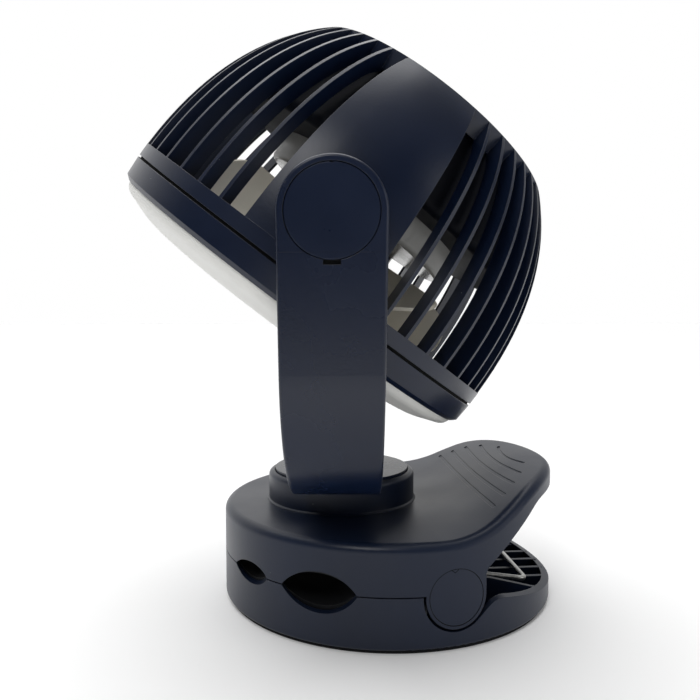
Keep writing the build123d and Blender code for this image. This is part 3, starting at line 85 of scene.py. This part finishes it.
def node_of(tree, kind, **inputs):
    """A shader node of this kind, with these values on its own sockets."""
    made = tree.nodes.new(kind)
    for socket, value in inputs.items():
        made.inputs[socket.replace("_", " ")].default_value = value
    return made


def math_node(tree, operation, first, second):
    """A Math node; each input is a socket or a number."""
    made = tree.nodes.new("ShaderNodeMath")
    made.operation = operation
    for index, value in enumerate((first, second)):
        if isinstance(value, float):
            made.inputs[index].default_value = value
        else:
            tree.links.new(value, made.inputs[index])
    return made.outputs[0]


def vector_node(tree, operation, *values):
    """The outputs of a Vector Math node; each input is a socket or a vector."""
    made = tree.nodes.new("ShaderNodeVectorMath")
    made.operation = operation
    for index, value in enumerate(values):
        if isinstance(value, Vector):
            made.inputs[index].default_value = value
        else:
            tree.links.new(value, made.inputs[index])
    return made.outputs


def noise(tree, place, scale, detail):
    """Noise of this many cells per metre, from 0 to 1."""
    made = node_of(tree, "ShaderNodeTexNoise", Scale=scale, Detail=detail)
    tree.links.new(place, made.inputs["Vector"])
    return made.outputs["Fac"]


def spread(tree, source, low, high, to_low, to_high):
    """Maps a value from one range to another, smoothly and without leaving it."""
    made = tree.nodes.new("ShaderNodeMapRange")
    made.interpolation_type = "SMOOTHSTEP"
    ranges = zip(("From Min", "From Max", "To Min", "To Max"), (low, high, to_low, to_high))
    for socket, value in ranges:
        made.inputs[socket].default_value = value
    tree.links.new(source, made.inputs["Value"])
    return made.outputs["Result"]


def blend_colour(tree, amount, first, second):
    """Mixes two colours by a socket; each colour is a socket or three numbers."""
    made = tree.nodes.new("ShaderNodeMix")
    made.data_type = "RGBA"
    tree.links.new(amount, made.inputs["Factor"])
    for index, value in ((6, first), (7, second)):
        if isinstance(value, tuple):
            made.inputs[index].default_value = (*value, 1)
        else:
            tree.links.new(value, made.inputs[index])
    return made.outputs[2]


def reach(tree, place, start, direction):
    """How far each point lies from start along a direction."""
    along = vector_node(tree, "DOT_PRODUCT", place, direction)["Value"]
    return math_node(tree, "SUBTRACT", along, float(start.dot(direction)))


def off_middle(tree, place, start, direction):
    """The same to either side of start, never below 0."""
    return math_node(tree, "ABSOLUTE", reach(tree, place, start, direction), 0.0)


def off_axis(tree, place, start, direction):
    """How far each point lies from the axis through start."""
    moved = vector_node(tree, "SUBTRACT", place, start)["Vector"]
    crossed = vector_node(tree, "CROSS_PRODUCT", moved, direction)["Vector"]
    return vector_node(tree, "LENGTH", crossed)["Value"]


def between(tree, value, low, high):
    """1 where a value lies from low to high, 0 elsewhere."""
    above = math_node(tree, "GREATER_THAN", value, low)
    return math_node(tree, "MULTIPLY", above, math_node(tree, "LESS_THAN", value, high))


# ---------------------------------------------------------------- painted shade in gaps, at fixed places of each body
def arm_gaps(tree, place):
    """Painted shade in the gap round each arm cover and in its pry slot, and the faint dark parting line
    beside them.
    """
    height = reach(tree, place, pivot, upward)
    slot_width = between(tree, reach(tree, place, pivot, across), -pry_slot_half_width, pry_slot_half_width)
    slot = math_node(tree, "MULTIPLY", between(tree, height, *pry_slot_heights), slot_width)
    round_cover = between(tree, off_axis(tree, place, pivot, far_side), 0.0, arm_cover_gap_radius)
    open_gap = math_node(tree, "MAXIMUM", slot, round_cover)
    sunk = between(tree, off_middle(tree, place, pivot, far_side), *arm_gap_sides)
    deep = math_node(tree, "MULTIPLY", open_gap, sunk)
    line = math_node(tree, "MULTIPLY", between(tree, height, *parting_line_heights), parting_line_strength)
    return math_node(tree, "MAXIMUM", deep, line)


def hinge_gaps(tree, place):
    """Painted shade in the thin gap round each hinge cover and in the V mark at its top."""
    outer = between(tree, off_middle(tree, place, hinge, along_hinge), *hinge_gap_sides)
    ring = between(tree, off_axis(tree, place, hinge, along_hinge), *hinge_ring_radii)
    beside = off_middle(tree, place, hinge - towards_lever * mark_setback, towards_lever)
    stroke = math_node(tree, "SUBTRACT", reach(tree, place, hinge, upward), mark_height)
    stroke = math_node(tree, "SUBTRACT", stroke, math_node(tree, "MULTIPLY", beside, mark_slope))
    mark = math_node(
        tree,
        "MULTIPLY",
        between(tree, stroke, -mark_half_stroke, mark_half_stroke),
        math_node(tree, "LESS_THAN", beside, mark_half_width),
    )
    return math_node(tree, "MULTIPLY", outer, math_node(tree, "MAXIMUM", ring, mark))


def seam_gap(tree, place):
    """Painted shade in the groove between the front ring and the rear shell."""
    along = between(tree, reach(tree, place, seam, head_up), -seam_half_height, seam_half_height)
    return math_node(
        tree, "MULTIPLY", along, between(tree, off_axis(tree, place, seam, head_up), *seam_radii)
    )


# ---------------------------------------------------------------- materials
def plastic(
    name,
    colour,
    rough,
    grain=0.0008,
    bump=0.1,
    specular=0.3,
    tint=0.12,
    edge=0.0003,
    shine=0.05,
    dust=0.0,
    painted_shade=None,
):
    """Moulded plastic: spark-eroded grain, slow drift of tone and gloss, and a painted highlight that
    lightens the edges.

    grain and edge are in metres, dust is the share of places with a speck, shine lifts the painted edge
    highlight, and the last argument draws painted shade in the gaps, slots and grooves.
    """
    material, tree, shader = new_material(name)
    links = tree.links
    place = tree.nodes.new("ShaderNodeTexCoord").outputs["Object"]

    drift = noise(tree, place, drift_scale, detail=4.0)
    tone = math_node(tree, "ADD", drift, noise(tree, place, broad_scale, detail=2.0))
    darker = tuple(c * (1 - tint) for c in colour)
    lighter = tuple(c * (1 + tint) for c in colour)
    paint = blend_colour(tree, spread(tree, tone, *tone_span, 0.0, 1.0), darker, lighter)

    # painted highlight: edges lighten where the rounded normal leans off the true one
    rounding = node_of(tree, "ShaderNodeBevel", Radius=edge)
    rounding.samples = 4
    surface = tree.nodes.new("ShaderNodeNewGeometry")
    facing = vector_node(tree, "DOT_PRODUCT", rounding.outputs["Normal"], surface.outputs["Normal"])
    edge_highlight = spread(tree, facing["Value"], *edge_highlight_facing, 1.0, 0.0)
    patches = spread(tree, drift, *edge_highlight_patch_span, edge_highlight_patch_least, 1.0)
    edge_highlight = math_node(tree, "MULTIPLY", edge_highlight, patches)
    edge_highlight_colour = tuple(min(1.0, c * edge_highlight_share + shine) for c in colour)
    paint = blend_colour(tree, edge_highlight, paint, edge_highlight_colour)

    if dust:
        grit = node_of(tree, "ShaderNodeTexVoronoi", Scale=dust_scale)
        links.new(place, grit.inputs["Vector"])
        chance = tree.nodes.new("ShaderNodeSeparateColor")
        links.new(grit.outputs["Color"], chance.inputs["Color"])
        size = math_node(tree, "MULTIPLY", chance.outputs["Red"], dust_size)
        speck = math_node(tree, "LESS_THAN", grit.outputs["Distance"], size)
        kept = math_node(tree, "LESS_THAN", chance.outputs["Green"], dust)
        paint = blend_colour(tree, math_node(tree, "MULTIPLY", speck, kept), paint, dust_colour)

    gloss = spread(tree, tone, *tone_span, rough - gloss_below, rough + gloss_above)
    gloss = math_node(tree, "SUBTRACT", gloss, math_node(tree, "MULTIPLY", edge_highlight, edge_highlight_gloss))
    # painted shade: gaps, slots and grooves turn near black and fully rough
    if painted_shade:
        shade_mask = painted_shade(tree, place)
        paint = blend_colour(tree, shade_mask, paint, painted_shade_colour)
        gloss = math_node(tree, "MAXIMUM", gloss, shade_mask)
    links.new(paint, shader.inputs["Base Color"])
    links.new(gloss, shader.inputs["Roughness"])

    relief = node_of(tree, "ShaderNodeBump", Strength=bump, Distance=pit_depth)
    links.new(noise(tree, place, 1 / grain, detail=2.0), relief.inputs["Height"])
    links.new(rounding.outputs["Normal"], relief.inputs["Normal"])
    links.new(relief.outputs["Normal"], shader.inputs["Normal"])
    shader.inputs["Specular IOR Level"].default_value = specular
    return material


def metal(name, colour, rough):
    """Drawn or plated metal: fine streaks along y and a slight change of tone."""
    material, tree, shader = new_material(name)
    stretch = node_of(tree, "ShaderNodeMapping", Scale=streak_cells)
    tree.links.new(tree.nodes.new("ShaderNodeTexCoord").outputs["Object"], stretch.inputs["Vector"])
    streaks = noise(tree, stretch.outputs["Vector"], 1.0, detail=3.0)
    dull = tuple(c * streak_dull for c in colour)
    bright = tuple(min(1.0, c * streak_bright) for c in colour)
    paint = blend_colour(tree, spread(tree, streaks, *streak_span, 0.0, 1.0), dull, bright)
    gloss = spread(tree, streaks, *streak_span, rough - streak_gloss_below, rough + streak_gloss_above)
    tree.links.new(paint, shader.inputs["Base Color"])
    tree.links.new(gloss, shader.inputs["Roughness"])
    shader.inputs["Metallic"].default_value = 1.0
    return material


def dress(material, *names):
    """Gives these CAD nodes the material, in every slot."""
    for name in names:
        mesh = nodes[name].data
        if not mesh.materials:
            mesh.materials.append(material)
        for index in range(len(mesh.materials)):
            mesh.materials[index] = material


navy = (0.0036, 0.0085, 0.0260)
dress(
    plastic(
        "clamp_plastic",
        (0.0058, 0.0115, 0.0300),
        0.36,
        specular=0.34,
        shine=0.008,
        dust=0.10,
        painted_shade=hinge_gaps,
    ),
    "lower_jaw",
    "upper_jaw",
    "swivel_turret",
    "hinge_cover_near",
    "hinge_cover_far",
)
dress(
    plastic(
        "shell_plastic", navy, 0.33, specular=0.42, edge=0.0002, shine=0.10, dust=0.08, painted_shade=seam_gap
    ),
    "rear_shell",
    "back_cap",
    "front_grille",
)
dress(
    plastic("yoke_plastic", navy, 0.28, specular=0.42, shine=0.010, dust=0.12, painted_shade=arm_gaps),
    "yoke",
    "swivel_disc",
)
dress(
    plastic("bezel_plastic", navy, 0.33, specular=0.38, shine=0.010, dust=0.10, painted_shade=seam_gap),
    "front_ring",
)
dress(
    plastic(
        "cover_plastic",
        (0.0034, 0.0085, 0.0265),
        0.30,
        specular=0.36,
        shine=0.008,
        dust=0.14,
        painted_shade=arm_gaps,
    ),
    "arm_cover_near",
    "arm_cover_far",
    "grille_hub_cap",
)
# inner parts: near-black plastic of their own, made darker still as painted shade for the inside of the
# head
dress(
    plastic("inner_plastic", (0.0014, 0.0022, 0.0052), 0.55, specular=0.1, shine=0.002),
    "motor_pod",
    "battery_cradle",
    "swivel_retainer",
    "hub_clip",
)
dress(
    plastic("cup_plastic", (0.24, 0.24, 0.23), 0.22, specular=0.5, tint=0.05, shine=0.1),
    "motor_cup",
)
dress(
    plastic("foot_rubber", (0.009, 0.0095, 0.011), 0.75, grain=0.0006, bump=0.25, specular=0.2),
    "foot_pad",
)
dress(
    plastic("grip_rubber", (0.006, 0.0065, 0.008), 0.7, grain=0.0007, bump=0.25, specular=0.2),
    "lower_grip_pad",
    "upper_grip_pad",
)
dress(plastic("washer_nylon", (0.62, 0.60, 0.55), 0.5, shine=0.1), "friction_washer", "pivot_washers")
dress(plastic("diffuser_plastic", (0.74, 0.74, 0.715), 0.5, tint=0.03, shine=0.2), "light_diffuser")
dress(
    plastic("impeller_plastic", (0.58, 0.55, 0.47), 0.4, tint=0.05, specular=0.4, shine=0.1),
    "impeller",
)
dress(plastic("button_plastic", (0.10, 0.105, 0.12), 0.5), "fan_button", "light_button")
dress(plastic("window_clear", (0.6, 0.62, 0.6), 0.25, tint=0.03), "charge_window")
dress(plastic("board_laminate", (0.02, 0.10, 0.05), 0.35), "circuit_board", "led_ring_board")
dress(plastic("led_phosphor", (0.75, 0.62, 0.16), 0.4, tint=0.05), "led_chips")
dress(plastic("cell_wrap", (0.05, 0.14, 0.32), 0.3), "battery_cells")
dress(metal("spring_steel", (0.62, 0.62, 0.60), 0.36), "clamp_spring")
dress(metal("pin_steel", (0.50, 0.50, 0.49), 0.32), "hinge_pin", "motor_shaft")
dress(
    metal("screw_steel", (0.13, 0.13, 0.14), 0.42),
    "turret_screws",
    "swivel_screws",
    "pivot_screws",
    "cap_screws",
    "cup_screws",
    "motor_screws",
)
dress(metal("motor_metal", (0.48, 0.48, 0.49), 0.4), "usb_socket", "motor")

# ---------------------------------------------------------------- studio
# The room is dim in front of the fan and bright behind it. Each turn is the span of one coordinate of
# the direction over which the light changes.
room_dim, room_bright, room_turn = 0.06, 1.0, (-0.2, 0.6)
right_share, right_turn = 0.6, (0.0, 0.5)
ceiling_glow, ceiling_turn = 0.30, (0.4, 0.95)
floor_reach, floor_white, floor_glow = 6, 0.93, 0.08

world = bpy.data.worlds.new("studio")
world.use_nodes = True
world_tree = world.node_tree
sky = world_tree.nodes["Background"]
towards = world_tree.nodes.new("ShaderNodeSeparateXYZ")
world_place = world_tree.nodes.new("ShaderNodeTexCoord").outputs["Generated"]
world_tree.links.new(world_place, towards.inputs["Vector"])
wall = spread(world_tree, towards.outputs["Y"], *room_turn, room_dim, room_bright)
right = spread(world_tree, towards.outputs["X"], *right_turn, 1.0, right_share)
wall = math_node(world_tree, "MULTIPLY", wall, right)
roof = spread(world_tree, towards.outputs["Z"], *ceiling_turn, 0.0, ceiling_glow)
seen = world_tree.nodes.new("ShaderNodeLightPath").outputs["Is Camera Ray"]
glow = math_node(world_tree, "MAXIMUM", math_node(world_tree, "MAXIMUM", wall, roof), seen)
world_tree.links.new(glow, sky.inputs["Strength"])
sky.inputs["Color"].default_value = (1.0, 1.0, 1.0, 1)
bpy.context.scene.world = world
bpy.context.scene.view_settings.view_transform = "Standard"

floor_mesh = bpy.data.meshes.new("studio_floor")
floor_corners = [(x * floor_reach, y * floor_reach, 0) for x, y in ((-1, -1), (1, -1), (1, 1), (-1, 1))]
floor_mesh.from_pydata(floor_corners, [], [(0, 1, 2, 3)])
floor = bpy.data.objects.new("studio_floor", floor_mesh)
bpy.context.collection.objects.link(floor)
floor_paint, _, floor_shader = new_material("studio_floor")
floor_shader.inputs["Base Color"].default_value = (floor_white, floor_white, floor_white, 1)
floor_shader.inputs["Roughness"].default_value = 0.9
floor_shader.inputs["Emission Color"].default_value = (1.0, 1.0, 1.0, 1)
floor_shader.inputs["Emission Strength"].default_value = floor_glow
floor_mesh.materials.append(floor_paint)


def area_light(name, place, target, size, power):
    """A square light at a place, turned to its target."""
    data = bpy.data.lights.new(name, "AREA")
    data.shape = "RECTANGLE"
    data.size = data.size_y = size
    data.energy = power
    light = bpy.data.objects.new(name, data)
    bpy.context.collection.objects.link(light)
    light.location = place
    light.rotation_euler = (Vector(target) - Vector(place)).to_track_quat("-Z", "Y").to_euler()


area_light("key_light", (-0.30, -0.67, 0.78), target=(-0.037, -0.075, 0.158), size=0.3, power=2.0)
area_light("fill_light", (0.75, -0.45, 0.35), target=(0, 0, 0.1), size=0.5, power=1.0)

sun_data = bpy.data.lights.new("top_light", "SUN")
sun_data.energy = 1.9
sun_data.angle = radians(60)
sun = bpy.data.objects.new("top_light", sun_data)
bpy.context.collection.objects.link(sun)
sun.rotation_euler = (radians(-14), radians(-5), 0)

# ---------------------------------------------------------------- camera
yaw, dip = 0.0900, 0.0550
forward = Vector((sin(yaw) * cos(dip), cos(yaw) * cos(dip), -sin(dip)))
camera_data = bpy.data.cameras.new("camera")
camera_data.sensor_width = 36.0
camera_data.lens = 36.715
camera_data.clip_start = 0.01
camera = bpy.data.objects.new("camera", camera_data)
bpy.context.collection.objects.link(camera)
camera.location = (-0.04143, -0.29234, 0.11333)
camera.rotation_euler = forward.to_track_quat("-Z", "Y").to_euler()
bpy.context.scene.camera = camera
